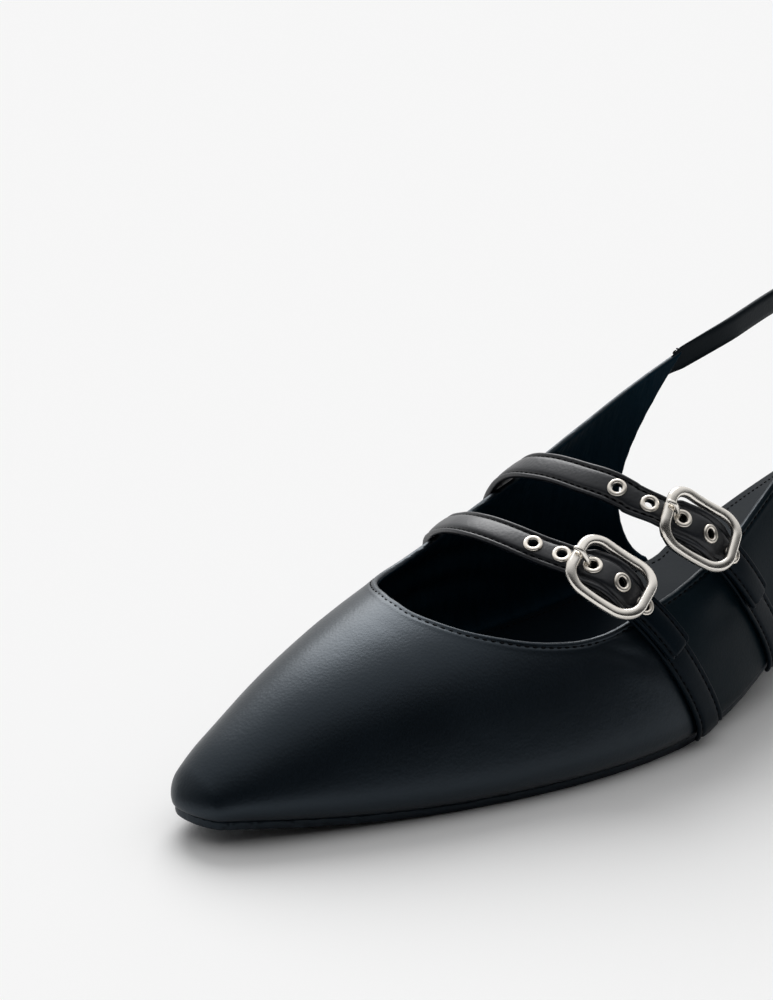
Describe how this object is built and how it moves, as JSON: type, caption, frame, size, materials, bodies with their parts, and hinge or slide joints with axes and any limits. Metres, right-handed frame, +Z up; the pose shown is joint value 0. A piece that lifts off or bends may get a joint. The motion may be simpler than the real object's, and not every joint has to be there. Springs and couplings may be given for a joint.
{
  "type": "slingback pump",
  "caption": "Pointed low-heeled slingback shoe for a left foot, with buckled straps over the instep and an open heel.",
  "frame": {"origin": "on the floor under the middle of the heel, where the heel's flat bottom rests", "axes": "+Z up, -Y towards the toe, +X towards the outer side of the left foot"},
  "size_m": [0.0823, 0.262, 0.0856],
  "materials": {
    "black_leather": "smooth satin black",
    "strap_leather": "smooth satin black, padded, stitched",
    "insole_leather": "matt grey",
    "sole_leather": "dark, matt",
    "heel_cover": "smooth satin black",
    "heel_rubber": "matt black",
    "silver_metal": "polished silver",
    "eyelet_metal": "polished pale silver"
  },
  "bodies": {
    "root": {"outsole": "sole_leather", "insole": "insole_leather", "upper": "black_leather", "heel": "heel_cover", "heel_top_piece": "heel_rubber", "sling_strap": "strap_leather", "strap_front": "strap_leather", "band_front": "strap_leather", "buckle_frame_front": "silver_metal", "prong_front": "silver_metal", "eyelet_front_1": "eyelet_metal", "eyelet_front_2": "eyelet_metal", "eyelet_front_3": "eyelet_metal", "eyelet_front_4": "eyelet_metal", "eyelet_front_5": "eyelet_metal", "strap_rear": "strap_leather", "band_rear": "strap_leather", "buckle_frame_rear": "silver_metal", "prong_rear": "silver_metal", "eyelet_rear_1": "eyelet_metal", "eyelet_rear_2": "eyelet_metal", "eyelet_rear_3": "eyelet_metal", "eyelet_rear_4": "eyelet_metal", "eyelet_rear_5": "eyelet_metal"}
  },
  "joints": []
}
